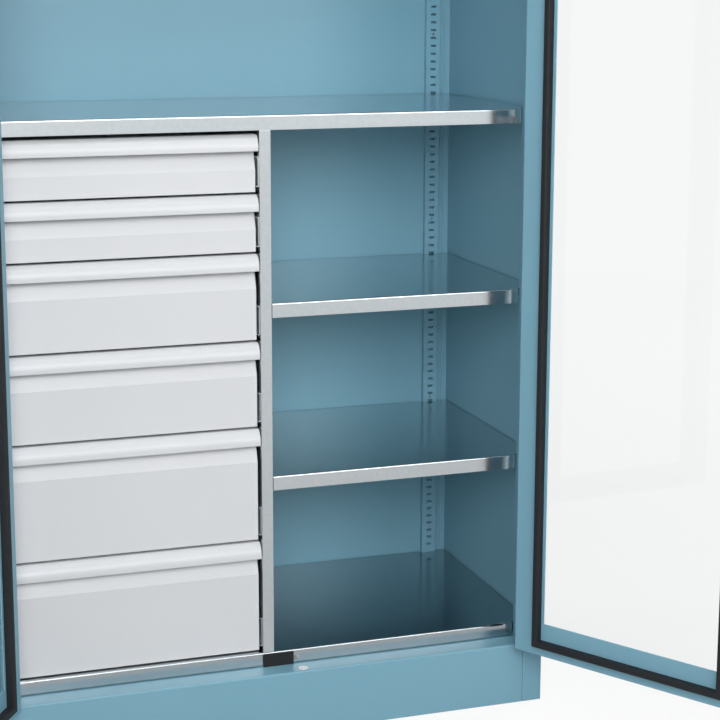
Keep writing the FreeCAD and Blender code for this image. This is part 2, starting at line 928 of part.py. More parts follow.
rails = []
drawer_base = "floor_top + drawer_floor_gap"
heights = 2 * ["large_drawer"] + 2 * ["medium_drawer"] + 2 * ["small_drawer"]
for place, height in enumerate(heights):
    label = f"drawer_{len(heights) - place}"
    drawer_top = f"{drawer_base} + {height} - drawer_gap"
    slide_z = (f"{drawer_base} + slide_lift", f"{drawer_base} + slide_lift + slide_height")
    slide_y = ("panel_back + slide_play", "tray_back + slide_play")
    node(f"{label}_front", drawer_front(f"{label}_front", drawer_base, drawer_top))
    node(f"{label}_grip", grip_strip(f"{label}_grip", drawer_top))
    node(f"{label}_tray", drawer_tray(f"{label}_tray", drawer_base, drawer_top, slide_z))
    stages = []
    for name, side in (("left", from_left), ("right", from_right)):
        stages.append(telescope(f"{label}_{name}_telescope", side, slide_y, slide_z))
        rails.append(fixed_rail(f"{label}_{name}_rail", side, slide_y[1], slide_z))
    node(f"{label}_telescopes", grouped(f"{label}_telescopes", *stages))
    drawer_base = f"{drawer_base} + {height}"
node("drawer_rails", grouped("drawer_rails", *rails))


# Door stop: a moulded pad on the floor tray's lip, behind the doors' meeting edges

node(
    "door_stop_pad",
    block(
        "door_stop_pad",
        ("-pad_left", "pad_right"),
        ("shelf_front - pad_thickness", "shelf_front"),
        ("ledge", "ledge + pad_height"),
    ),
)


# Hinges: three a side, with knuckles in front of the jamb and leaves in the gap beside the door

def knuckle(name, z):
    return upright_cylinder(name, "knuckle_radius", "pivot_x", "pivot_y", z)


def pin_bore(name, z):
    return upright_cylinder(name, "pin_radius + pin_play", "pivot_x", "pivot_y", z)


post_leaves, door_leaves, pins = [], [], []
for label, middle in (
    ("lower", "door_bottom + hinge_end"),
    ("middle", "(door_bottom + door_top) / 2"),
    ("upper", "door_top - hinge_end"),
):
    foot = f"{middle} - 1.5 * knuckle_length"
    head = f"{middle} + 1.5 * knuckle_length"
    low_joint = f"{middle} - knuckle_length / 2"
    high_joint = f"{middle} + knuckle_length / 2"
    leaf_y = ("front + pin_radius / 4", "front + leaf_depth")
    tab_y = ("pivot_y", "front + pin_radius / 2")
    post_x = ("post_inner - leaf_gauge", "post_inner")
    door_x = ("door_hinge", "door_hinge + leaf_gauge")
    lower_z = (foot, f"{low_joint} - knuckle_gap")
    upper_z = (f"{high_joint} + knuckle_gap", head)
    door_z = (low_joint, high_joint)
    whole_z = (f"{foot} - pin_radius", f"{head} + pin_radius")
    post_leaves.append(
        cut(
            f"{label}_post_leaf",
            fused(
                f"{label}_post_leaf_solid",
                block(f"{label}_post_plate", post_x, leaf_y, (foot, head)),
                block(f"{label}_post_low_tab", post_x, tab_y, lower_z),
                block(f"{label}_post_high_tab", post_x, tab_y, upper_z),
                knuckle(f"{label}_post_low_knuckle", lower_z),
                knuckle(f"{label}_post_high_knuckle", upper_z),
            ),
            pin_bore(f"{label}_post_bore", whole_z),
        )
    )
    door_leaves.append(
        cut(
            f"{label}_door_leaf",
            fused(
                f"{label}_door_leaf_solid",
                block(f"{label}_door_plate", door_x, leaf_y, (foot, head)),
                block(f"{label}_door_tab", door_x, tab_y, door_z),
                knuckle(f"{label}_door_knuckle", door_z),
            ),
            pin_bore(f"{label}_door_bore", whole_z),
        )
    )
    pins.append(upright_cylinder(f"{label}_pin", "pin_radius", "pivot_x", "pivot_y", (foot, head)))

right_post_leaves = grouped("right_post_leaves", *post_leaves)
node(
    "post_hinge_leaves",
    grouped("post_hinge_leaves", right_post_leaves, mirrored("left_post_leaves", right_post_leaves)),
)
right_pins = grouped("right_pins", *pins)
node("hinge_pins", grouped("hinge_pins", right_pins, mirrored("left_pins", right_pins)))
closed_leaves = grouped("closed_door_leaves", *door_leaves)
swung("right_door_hinge_leaves", closed_leaves, 1)
swung("left_door_hinge_leaves", mirrored("closed_left_leaves", closed_leaves), -1)


# Doors: a folded outer shell, an inner frame over it, a clear pane between them and a rubber gasket

def door_block(name, inset, y):
    """A block over the closed right door, drawn in by the same amount on all four edges."""
    return block(
        name,
        (f"door_free + {inset}", f"door_hinge - ({inset})"),
        y,
        (f"door_bottom + {inset}", f"door_top - ({inset})"),
    )


def glazed_block(name, extra, y):
    """A block over the shell's window, which is wider than the inner frame's except on the lock side."""
    return block(
        name,
        (f"door_free + door_frame - {extra}", f"door_hinge - door_rim + {extra}"),
        y,
        (f"door_bottom + door_rim - {extra}", f"door_top - door_rim + {extra}"),
    )


shell_walls = cut(
    "shell_cavity",
    door_block("shell_cavity_outside", "door_gauge", ("front + door_gauge", "door_inside")),
    glazed_block("shell_window_wall", "door_gauge", ("front", "pane_front")),
)
shell_block = door_block("shell_outside", "0", ("front", "pane_back"))
outer_face = number("front")
shell_folded = rounded(
    "shell_folded",
    shell_block,
    "fold_radius",
    lambda ends: all(abs(p.y - outer_face) < 0.01 for p in ends),
)
closed_shell = cut(
    "closed_shell",
    shell_folded,
    shell_walls,
    glazed_block("shell_window", "0", ("front - door_gauge", "door_inside")),
)
closed_inner_frame = cut(
    "closed_inner_frame",
    door_block("inner_frame_sheet", "0", ("pane_back", "door_inside")),
    door_block("inner_frame_window", "door_frame", ("pane_front", "door_inside + door_gauge")),
)
closed_pane = glazed_block("closed_pane", "pane_overlap", ("pane_front", "pane_back"))


def gasket_block(name, extra, y):
    return block(
        name,
        (f"door_free + gasket_side_inset + {extra}", f"door_hinge - gasket_side_inset - ({extra})"),
        y,
        (f"door_bottom + gasket_end_inset + {extra}", f"door_top - gasket_end_inset - ({extra})"),
    )


gasket_ring = cut(
    "gasket_ring",
    gasket_block("gasket_outside", "0", ("door_inside", "door_inside + gasket_height")),
    gasket_block("gasket_inside", "gasket_width", ("pane_back", "door_inside + 2 * gasket_height")),
)
gasket_face = number("door_inside + gasket_height")
closed_gasket = rounded(
    "closed_gasket",
    gasket_ring,
    "gasket_round",
    lambda ends: all(abs(p.y - gasket_face) < 0.01 for p in ends),
)
for name, closed in (
    ("shell", closed_shell),
    ("inner_frame", closed_inner_frame),
    ("pane", closed_pane),
    ("gasket", closed_gasket),
):
    swung(f"left_door_{name}", mirrored(f"closed_left_{name}", closed), -1)


# Three-point lock on the right door: plate, key cylinder, turning lever, case and two rods

def spindle_bore(name):
    return level_cylinder(
        name,
        "spindle_radius + pin_play",
        "lock_x",
        ("plate_face - door_gauge", "pane_front"),
        "lock_height",
    )


def cylinder_bore(name):
    return level_cylinder(
        name,
        "cylinder_radius + pin_play",
        "lock_x",
        ("plate_face - door_gauge", "front + door_gauge"),
        "lock_height - cylinder_drop",
    )


locked_shell = cut(
    "locked_shell",
    closed_shell,
    rod_hole("lower_edge_hole", "rod_bore", ("door_bottom - door_gauge", "door_bottom + 2 * door_gauge")),
    rod_hole("upper_edge_hole", "rod_bore", ("door_top - 2 * door_gauge", "door_top + door_gauge")),
    spindle_bore("shell_spindle_bore"),
    cylinder_bore("shell_cylinder_bore"),
)
lock_case = cut(
    "closed_lock_case",
    block(
        "lock_case_outside",
        ("door_free + case_inset", "door_free + door_frame - 2 * door_gauge"),
        ("front + door_gauge", "pane_front - rod_play"),
        ("case_foot", "case_top"),
    ),
    rod_hole("case_upper_bore", "rod_bore", ("upper_rod_end - rod_end_gap", "case_top + door_gauge")),
    rod_hole("case_lower_bore", "rod_bore", ("case_foot - door_gauge", "lower_rod_end + rod_end_gap")),
    spindle_bore("case_spindle_bore"),
)
plate_blank = block(
    "lock_plate_blank",
    ("lock_x - plate_half_width", "lock_x + plate_half_width"),
    ("plate_face", "front"),
    ("lock_height - plate_down", "lock_height + plate_up"),
)
plate_rounded = rounded(
    "lock_plate_rounded",
    plate_blank,
    "plate_corner",
    lambda ends: len({(round(p.x, 3), round(p.z, 3)) for p in ends}) == 1,
)
lock_plate = cut(
    "closed_lock_plate",
    plate_rounded,
    spindle_bore("plate_spindle_bore"),
    cylinder_bore("plate_cylinder_bore"),
)
cylinder_face = "plate_face - cylinder_proud"
cylinder_height = "lock_height - cylinder_drop"
key_cylinder = cut(
    "closed_key_cylinder",
    level_cylinder(
        "cylinder_blank",
        "cylinder_radius",
        "lock_x",
        (cylinder_face, "front + door_gauge"),
        cylinder_height,
    ),
    block(
        "keyway",
        ("lock_x - keyway_width / 2", "lock_x + keyway_width / 2"),
        (f"{cylinder_face} - keyway_depth", f"{cylinder_face} + keyway_depth"),
        (f"{cylinder_height} - keyway_height / 2", f"{cylinder_height} + keyway_height / 2"),
    ),
)
hub_face = "plate_face - handle_turn_gap"
hub_y = (f"{hub_face} - hub_length", hub_face)
lever = fused(
    "closed_lock_lever",
    level_cylinder("lever_hub", "hub_radius", "lock_x", hub_y, "lock_height"),
    level_cylinder(
        "lever_spindle",
        "spindle_radius",
        "lock_x",
        (f"{hub_face} - spindle_radius", f"{hub_face} - spindle_radius + spindle_length"),
        "lock_height",
    ),
    block(
        "lever_bar",
        ("lock_x", "lock_x + lever_length"),
        (f"{hub_face} - hub_length", f"{hub_face} - hub_length + lever_thickness"),
        ("lock_height - lever_half_width", "lock_height + lever_half_width"),
    ),
    level_cylinder(
        "lever_tip",
        "lever_half_width",
        "lock_x + lever_length",
        (f"{hub_face} - hub_length", f"{hub_face} - hub_length + lever_thickness"),
        "lock_height",
    ),
)
upper_rod = rod_hole("closed_upper_rod", "rod_radius", ("upper_rod_end", "door_top - rod_end_gap"))
lower_rod = rod_hole("closed_lower_rod", "rod_radius", ("door_bottom + rod_end_gap", "lower_rod_end"))
for name, closed in (
    ("right_door_shell", locked_shell),
    ("right_door_inner_frame", closed_inner_frame),
    ("right_door_pane", closed_pane),
    ("right_door_gasket", closed_gasket),
    ("lock_case", lock_case),
    ("lock_plate", lock_plate),
    ("key_cylinder", key_cylinder),
    ("lock_lever", lever),
    ("upper_rod", upper_rod),
    ("lower_rod", lower_rod),
):
    swung(name, closed, 1)


# Build, test and write

doc.recompute()
for made in doc.Objects:
    if "Invalid" in made.State or "Error" in made.State:
        raise RuntimeError(f"{made.Label} failed: {made.State}")
for piece in nodes:
    if piece.Shape.isNull() or not piece.Shape.isValid() or not piece.Shape.Solids:
        raise RuntimeError(f"{piece.Label} has no valid solid")
os.makedirs("parts", exist_ok=True)
for piece in nodes:
    piece.Shape.exportStep(f"parts/{piece.Label}.step")
print(f"{len(nodes)} pieces written")
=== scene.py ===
"""A heavy-duty steel cabinet with glazed doors, drawers and galvanised shelves.

It is dressed around its solids. Metres, +Z up, front towards -Y. The doors stand open and the
drawers are shut.
"""

import json
import math

import bmesh
import bpy
from mathutils import Matrix, Vector

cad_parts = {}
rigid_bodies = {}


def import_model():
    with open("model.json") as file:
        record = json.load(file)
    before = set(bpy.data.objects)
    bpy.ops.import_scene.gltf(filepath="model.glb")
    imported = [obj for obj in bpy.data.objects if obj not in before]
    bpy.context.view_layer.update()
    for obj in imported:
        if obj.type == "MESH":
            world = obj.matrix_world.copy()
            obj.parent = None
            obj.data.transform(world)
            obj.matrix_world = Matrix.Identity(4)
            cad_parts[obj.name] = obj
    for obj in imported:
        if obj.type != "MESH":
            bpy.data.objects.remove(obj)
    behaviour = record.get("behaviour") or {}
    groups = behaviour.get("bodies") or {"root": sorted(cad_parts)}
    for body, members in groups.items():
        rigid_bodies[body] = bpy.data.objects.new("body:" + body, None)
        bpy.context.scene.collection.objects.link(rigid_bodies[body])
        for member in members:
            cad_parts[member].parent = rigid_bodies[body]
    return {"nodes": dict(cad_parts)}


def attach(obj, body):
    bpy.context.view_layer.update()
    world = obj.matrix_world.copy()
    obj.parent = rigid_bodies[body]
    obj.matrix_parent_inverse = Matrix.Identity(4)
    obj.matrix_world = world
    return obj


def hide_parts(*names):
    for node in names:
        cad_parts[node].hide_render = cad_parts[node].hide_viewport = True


for leftover in list(bpy.data.objects):
    bpy.data.objects.remove(leftover)
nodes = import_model()["nodes"]
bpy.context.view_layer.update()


# Carcass: sides with hollow posts, back, roof, base frame and slotted uprights, folded from steel
# sheet and welded, then powder coated light blue in one go. The baked film is satin with a faint
# orange peel. Its folds are painted paler, a painted highlight where the edges catch the light.

def linear(code):
    """An sRGB hex colour as linear red, green, blue and alpha."""
    parts = [int(code[at:at + 2], 16) / 255 for at in (1, 3, 5)]
    return [p / 12.92 if p <= 0.04045 else ((p + 0.055) / 1.055) ** 2.4 for p in parts] + [1.0]


def add(tree, kind, inputs=None, **settings):
    """Adds a node with its settings. An input given as a socket is linked, any other is set."""
    made = tree.nodes.new(kind)
    for name, setting in settings.items():
        setattr(made, name, setting)
    for key, given in (inputs or {}).items():
        if isinstance(given, bpy.types.NodeSocket):
            tree.links.new(given, made.inputs[key])
        else:
            made.inputs[key].default_value = given
    return made


def start_material(name):
    """A new material: itself, its tree, its Principled shader and its Object coordinates."""
    material = bpy.data.materials.new(name)
    material.use_nodes = True
    tree = material.node_tree
    shader = tree.nodes["Principled BSDF"]
    place = add(tree, "ShaderNodeTexCoord").outputs["Object"]
    return material, tree, shader, place


def powder_coat(name, colour, shade, edge_highlight, roughness, peel_mm, peel_depth):
    """Baked powder: colour clouds a hand wide, a highlight painted on folds, an orange peel bump.
    """
    material, tree, shader, place = start_material(name)
    clouds = add(tree, "ShaderNodeTexNoise", {"Vector": place, "Scale": 1000 / 140, "Detail": 3.0})
    film = add(
        tree,
        "ShaderNodeMix",
        {0: clouds.outputs["Fac"], 6: linear(shade), 7: linear(colour)},
        data_type="RGBA",
    )
    folds = add(tree, "ShaderNodeBevel", {"Radius": 0.0015}, samples=4)
    sheet = add(tree, "ShaderNodeNewGeometry")
    bend = add(
        tree,
        "ShaderNodeVectorMath",
        {0: folds.outputs["Normal"], 1: sheet.outputs["True Normal"]},
        operation="DOT_PRODUCT",
    )
    # Painted highlight: the film is blended to the paler colour where the bevel rounds the folds.
    edge_highlight_mask = add(
        tree,
        "ShaderNodeMapRange",
        {
            "Value": bend.outputs["Value"],
            "From Min": 0.98,
            "From Max": 0.75,
            "To Min": 0.0,
            "To Max": 0.6,
        },
    )
    coat = add(
        tree,
        "ShaderNodeMix",
        {0: edge_highlight_mask.outputs["Result"], 6: film.outputs[2], 7: linear(edge_highlight)},
        data_type="RGBA",
    )
    tree.links.new(coat.outputs[2], shader.inputs["Base Color"])
    gloss = add(
        tree,
        "ShaderNodeMapRange",
        {"Value": clouds.outputs["Fac"], "To Min": roughness - 0.02, "To Max": roughness + 0.02},
    )
    tree.links.new(gloss.outputs["Result"], shader.inputs["Roughness"])
    peel = add(
        tree,
        "ShaderNodeTexNoise",
        {"Vector": place, "Scale": 1000 / peel_mm, "Detail": 2.0, "Roughness": 0.4},
    )
    bump = add(
        tree,
        "ShaderNodeBump",
        {
            "Height": peel.outputs["Fac"],
            "Normal": folds.outputs["Normal"],
            "Strength": peel_depth,
            "Distance": 0.0004,
        },
    )
    tree.links.new(bump.outputs["Normal"], shader.inputs["Normal"])
    shader.inputs["IOR"].default_value = 1.48
    return material


def wear(material, *names):
    """Gives the material to CAD nodes, in every slot of theirs."""
    for name in names:
        for slot in nodes[name].material_slots:
            slot.material = material


# Real orange peel is 1 to 2 mm across: it is drawn 5 mm wide so that it shows.
# The third colour is a highlight painted along the folds.
blue_coat = powder_coat("light_blue_powder_coat", "#7CACBF", "#7AAABD", "#8FBACB", 0.36, 5.0, 0.06)
wear(
    blue_coat,
    "right_side_panel",
    "left_side_panel",
    "rear_panel",
    "top_panel",
    "base_frame",
    "rear_uprights",
)


# Floor tray, shelves, partition and drawer housing: folded from hot-dip galvanised sheet that is
# rolled to a half-bright face and left bare. It mirrors the blue walls softly, with faint rolling
# lines and pale crystals a few millimetres wide. The tray's sheet is painted darker: painted
# shade for the dim floor of the cabinet.

def zinc(name, colour, shade, roughness, crystal_mm):
    """Zinc on steel: a metal whose crystals and rolling lines change its gloss a little."""
    material, tree, shader, place = start_material(name)
    crystals = add(tree, "ShaderNodeTexVoronoi", {"Vector": place, "Scale": 1000 / crystal_mm})
    lightness = add(tree, "ShaderNodeRGBToBW", {"Color": crystals.outputs["Color"]})
    face = add(
        tree,
        "ShaderNodeMix",
        {0: lightness.outputs["Val"], 6: linear(shade), 7: linear(colour)},
        data_type="RGBA",
    )
    tree.links.new(face.outputs[2], shader.inputs["Base Color"])
    # Real rolling lines are under a millimetre apart: they are drawn 4 mm apart so that they show.
    line_mm = 4
    rolling = add(
        tree,
        "ShaderNodeMapping",
        {"Vector": place, "Scale": (2.0, 1000 / line_mm, 1000 / line_mm)},
    )
    lines = add(
        tree,
        "ShaderNodeTexNoise",
        {"Vector": rolling.outputs["Vector"], "Scale": 1.0, "Detail": 2.0},
    )
    gloss = add(
        tree,
        "ShaderNodeMapRange",
        {"Value": lines.outputs["Fac"], "To Min": roughness - 0.04, "To Max": roughness + 0.04},
    )
    tree.links.new(gloss.outputs["Result"], shader.inputs["Roughness"])
    folds = add(tree, "ShaderNodeBevel", {"Radius": 0.001}, samples=4)
    bump = add(
        tree,
        "ShaderNodeBump",
        {
            "Height": lines.outputs["Fac"],
            "Normal": folds.outputs["Normal"],
            "Strength": 0.04,
            "Distance": 0.0001,
        },
    )
    tree.links.new(bump.outputs["Normal"], shader.inputs["Normal"])
    shader.inputs["Metallic"].default_value = 1.0
    return material


zinc_sheet = zinc("galvanised_sheet", "#CBD1D4", "#C6CDD0", 0.15, 6.0)
# The tray's zinc is painted darker than the shelves' zinc, as painted shade.
shaded_tray_sheet = zinc("galvanised_floor_sheet", "#B2B9BD", "#ADB4B8", 0.15, 6.0)
wear(
    zinc_sheet,
    "full_shelf",
    "upper_shelf",
    "right_shelf_upper",
    "right_shelf_lower",
    "partition",
    "drawer_housing_side",
)
wear(shaded_tray_sheet, "floor_tray")


# Shelf clips and drawer rails: pressed from strip and zinc plated bright. Aluminium blind rivets
# hold the rails through the partition and the uprights through the back sheet.

def start_heads():
    """Geometry Nodes that set domed heads in rows of pairs. A screw's head has a cross recess."""
    tree = bpy.data.node_groups.new("heads_in_rows", "GeometryNodeTree")
    for name, kind in (
        ("First", "NodeSocketVector"),
        ("Row Step", "NodeSocketVector"),
        ("Row Count", "NodeSocketInt"),
        ("Pair Step", "NodeSocketVector"),
        ("Pair Count", "NodeSocketInt"),
        ("Head Radius", "NodeSocketFloat"),
        ("Head Height", "NodeSocketFloat"),
        ("Facing", "NodeSocketVector"),
        ("Recess", "NodeSocketBool"),
        ("Finish", "NodeSocketMaterial"),
    ):
        tree.interface.new_socket(name, in_out="INPUT", socket_type=kind)
    tree.interface.new_socket("Heads", in_out="OUTPUT", socket_type="NodeSocketGeometry")
    sizes = add(tree, "NodeGroupInput").outputs
    rows = add(
        tree,
        "GeometryNodeMeshLine",
        {
            "Count": sizes["Row Count"],
            "Start Location": sizes["First"],
            "Offset": sizes["Row Step"],
        },
        mode="OFFSET",
    )
    pair = add(
        tree,
        "GeometryNodeMeshLine",
        {"Count": sizes["Pair Count"], "Offset": sizes["Pair Step"]},
        mode="OFFSET",
    )
    pairs = add(
        tree,
        "GeometryNodeInstanceOnPoints",
        {"Points": rows.outputs["Mesh"], "Instance": pair.outputs["Mesh"]},
    )
    places = add(tree, "GeometryNodeRealizeInstances", {"Geometry": pairs.outputs["Instances"]})
    dome = add(tree, "GeometryNodeMeshUVSphere", {"Segments": 16, "Rings": 10, "Radius": 1.0})
    long_arm = add(tree, "GeometryNodeMeshCube", {"Size": (1.1, 0.26, 0.8)})
    cross_arm = add(tree, "GeometryNodeMeshCube", {"Size": (0.26, 1.1, 0.8)})
    cross = add(tree, "GeometryNodeJoinGeometry", {"Geometry": long_arm.outputs["Mesh"]})
    tree.links.new(cross_arm.outputs["Mesh"], cross.inputs["Geometry"])
    driver_bit = add(
        tree,
        "GeometryNodeTransform",
        {"Geometry": cross.outputs["Geometry"], "Translation": (0, 0, 0.95)},
    )
    recessed = add(
        tree,
        "GeometryNodeMeshBoolean",
        {0: dome.outputs["Mesh"], 1: driver_bit.outputs["Geometry"], "Self Intersection": True},
        operation="DIFFERENCE",
        solver="EXACT",
    )
    shape = add(
        tree,
        "GeometryNodeSwitch",
        {
            "Switch": sizes["Recess"],
            "False": dome.outputs["Mesh"],
            "True": recessed.outputs["Mesh"],
        },
        input_type="GEOMETRY",
    )
    spread = add(
        tree,
        "ShaderNodeCombineXYZ",
        {"X": sizes["Head Radius"], "Y": sizes["Head Radius"], "Z": sizes["Head Height"]},
    )
    head = add(
        tree,
        "GeometryNodeTransform",
        {"Geometry": shape.outputs["Output"], "Scale": spread.outputs["Vector"]},
    )
    turn = add(tree, "FunctionNodeEulerToRotation", {"Euler": sizes["Facing"]})
    heads = add(
        tree,
        "GeometryNodeInstanceOnPoints",
        {
            "Points": places.outputs["Geometry"],
            "Instance": head.outputs["Geometry"],
            "Rotation": turn.outputs["Rotation"],
        },
    )
    whole = add(tree, "GeometryNodeRealizeInstances", {"Geometry": heads.outputs["Instances"]})
    finished = add(
        tree,
        "GeometryNodeSetMaterial",
        {"Geometry": whole.outputs["Geometry"], "Material": sizes["Finish"]},
    )
    add(tree, "NodeGroupOutput", {"Heads": finished.outputs["Geometry"]})
    return tree


heads_in_rows = start_heads()
FACING = {
    "left": (0, -math.pi / 2, 0),
    "right": (0, math.pi / 2, 0),
    "front": (math.pi / 2, 0, 0),
    "back": (-math.pi / 2, 0, 0),
    "up": (0, 0, 0),
    "down": (math.pi, 0, 0),
}


def head_rows(finish, first, facing, head, rows, pairs, recess=False):
    """A plain mesh of heads, in millimetres.

    A head is a radius and a height. Rows and pairs are a count and a step each.
    """
    mould = bpy.data.objects.new("heads", bpy.data.meshes.new("heads"))
    bpy.context.scene.collection.objects.link(mould)
    modifier = mould.modifiers.new("heads", "NODES")
    modifier.node_group = heads_in_rows
    given = {
        "First": [v / 1000 for v in first],
        "Row Count": rows[0],
        "Row Step": [v / 1000 for v in rows[1]],
        "Pair Count": pairs[0],
        "Pair Step": [v / 1000 for v in pairs[1]],
        "Head Radius": head[0] / 1000,
        "Head Height": head[1] / 1000,
        "Facing": FACING[facing],
        "Recess": recess,
        "Finish": finish,
    }
    for socket in heads_in_rows.interface.items_tree:
        if socket.in_out == "INPUT":
            modifier[socket.identifier] = given[socket.name]
    evaluated = mould.evaluated_get(bpy.context.evaluated_depsgraph_get())
    mesh = bpy.data.meshes.new_from_object(evaluated)
    bpy.data.objects.remove(mould)
    return mesh


def fit(name, meshes, finish, body):
    """Joins meshes into one piece that rides on a body."""
    joiner = bmesh.new()
    for mesh in meshes:
        joiner.from_mesh(mesh)
        bpy.data.meshes.remove(mesh)
    whole = bpy.data.meshes.new(name)
    joiner.to_mesh(whole)
    joiner.free()
    whole.materials.append(finish)
    whole.shade_smooth()
    piece = bpy.data.objects.new(name, whole)
    bpy.context.scene.collection.objects.link(piece)
    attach(piece, body)


# Plating shines unevenly in patches a millimetre or so wide, and rivet heads are a little duller.
bright_zinc = zinc("bright_zinc_plating", "#C4C8CA", "#B4BABD", 0.3, 1.2)
wear(bright_zinc, "shelf_clips", "drawer_rails")
aluminium = zinc("aluminium_rivets", "#B9BCBE", "#AEB2B5", 0.35, 1.0)
partition_face = 9.7
rail_rivet = (3.2, 0.9)
rail_pair = (2, (0, 300, 0))
low_rails = (3, (0, 0, 200))
high_rails = (2, (0, 0, 100))
upright_x = 461.5
upright_rivet = (4.0, 1.6)
upright_rows = (4, (0, 0, 360))
upright_pair = (2, (2 * upright_x, 0, 0))
low_first = (partition_face, -150, 171)
high_first = (partition_face, -150, 871)
upright_first = (-upright_x, 228.5, 459.5)
rivets = [
    head_rows(aluminium, low_first, "right", rail_rivet, low_rails, rail_pair),
    head_rows(aluminium, high_first, "right", rail_rivet, high_rails, rail_pair),
    head_rows(aluminium, upright_first, "back", upright_rivet, upright_rows, upright_pair),
]
fit("rail_and_upright_rivets", rivets, aluminium, "carcass")


# Drawers: pressed fronts and folded trays in pale grey powder coat, on three-stage slides of plated
# steel. A curved grip strip along each top edge has a smoother, glossier film.

# The third colour of each coat is a highlight painted along the folds.
front_coat = powder_coat("pale_grey_powder_coat", "#D7D9DB", "#D4D6D9", "#E0E2E4", 0.4, 5.0, 0.05)
grip_coat = powder_coat("pale_grey_smooth_coat", "#D6D8DA", "#D3D5D8", "#E0E2E4", 0.32, 6.0, 0.02)
for number in range(1, 7):
    wear(front_coat, f"drawer_{number}_front", f"drawer_{number}_tray")
    wear(grip_coat, f"drawer_{number}_grip")
    wear(bright_zinc, f"drawer_{number}_telescopes")


# Door stop: a small black pad moulded in EPDM rubber and stuck on the floor tray's lip. It is matt
# and close-grained.

def moulded(name, colour, shade, roughness, shine, grain_mm):
    """Moulded rubber or plastic: matt, with a fine grain from the tool and eased edges."""
    material, tree, shader, place = start_material(name)
    grain = add(
        tree,
        "ShaderNodeTexNoise",
        {"Vector": place, "Scale": 1000 / grain_mm, "Detail": 3.0},
    )
    skin = add(
        tree,
        "ShaderNodeMix",
        {0: grain.outputs["Fac"], 6: linear(shade), 7: linear(colour)},
        data_type="RGBA",
    )
    tree.links.new(skin.outputs[2], shader.inputs["Base Color"])
    sheen = add(
        tree,
        "ShaderNodeMapRange",
        {"Value": grain.outputs["Fac"], "To Min": roughness - 0.05, "To Max": roughness + 0.05},
    )
    tree.links.new(sheen.outputs["Result"], shader.inputs["Roughness"])
    edges = add(tree, "ShaderNodeBevel", {"Radius": 0.001}, samples=4)
    bump = add(
        tree,
        "ShaderNodeBump",
        {
            "Height": grain.outputs["Fac"],
            "Normal": edges.outputs["Normal"],
            "Strength": 0.1,
            "Distance": 0.0001,
        },
    )
    tree.links.new(bump.outputs["Normal"], shader.inputs["Normal"])
    shader.inputs["Specular IOR Level"].default_value = shine
    return material


# Real mould grain is a few tenths of a millimetre wide: it is drawn about 1 mm wide to show.
black_rubber = moulded("black_epdm_rubber", "#212427", "#1B1E20", 0.6, 0.25, 1.0)
wear(black_rubber, "door_stop_pad")


# Hinges: leaves pressed from zinc-plated strip and screwed to the posts and the door edges, on
# turned pins with domed ends. The screws have cross recesses.

wear(
    bright_zinc,
    "post_hinge_leaves",
    "hinge_pins",
    "right_door_hinge_leaves",
    "left_door_hinge_leaves",
)
hinge_x, hinge_y = 461, -255
hinges = (3, (0, 0, 748))
pin_end = (4.4, 2.0)
pin_top, pin_foot = 299.5, 224.5
leaf_screw = (3.0, 0.4)
leaf_screw_y, leaf_screw_z = -238, 237
post_leaf_x, door_leaf_x = 461.6, 460.4
leaf_pair = (2, (0, 0, 50))
one = (1, (0, 0, 0))
post_parts = []
for side, inward in ((1, "left"), (-1, "right")):
    leaf = (side * post_leaf_x, leaf_screw_y, leaf_screw_z)
    top = (side * hinge_x, hinge_y, pin_top)
    foot = (side * hinge_x, hinge_y, pin_foot)
    post_parts.append(head_rows(bright_zinc, leaf, inward, leaf_screw, hinges, leaf_pair, True))
    post_parts.append(head_rows(bright_zinc, top, "up", pin_end, hinges, one))
    post_parts.append(head_rows(bright_zinc, foot, "down", pin_end, hinges, one))
fit("hinge_post_screws_and_pin_ends", post_parts, bright_zinc, "carcass")


door_angle = math.radians(121.6)


def opening_turn(side):
    """The turn from a closed door, 1 the right and -1 the left, to where it stands open."""
    pivot = Matrix.Translation((side * hinge_x / 1000, hinge_y / 1000, 0))
    return pivot @ Matrix.Rotation(side * door_angle, 4, "Z") @ pivot.inverted()


for side, body, outward in ((1, "right_door", "right"), (-1, "left_door", "left")):
    leaf = (side * door_leaf_x, leaf_screw_y, leaf_screw_z)
    leaf_screws = head_rows(bright_zinc, leaf, outward, leaf_screw, hinges, leaf_pair, True)
    leaf_screws.transform(opening_turn(side))
    fit(f"{body}_hinge_screws", [leaf_screws], bright_zinc, body)


# Doors: a folded outer shell and an inner frame in the carcass's blue, with a clear acrylic pane
# clamped between them on thin tape, its sawn edges eased. A moulded rubber gasket is stuck all
# round on the inner frame.

wear(
    blue_coat,
    "right_door_shell",
    "right_door_inner_frame",
    "left_door_shell",
    "left_door_inner_frame",
)
wear(black_rubber, "right_door_gasket", "left_door_gasket")
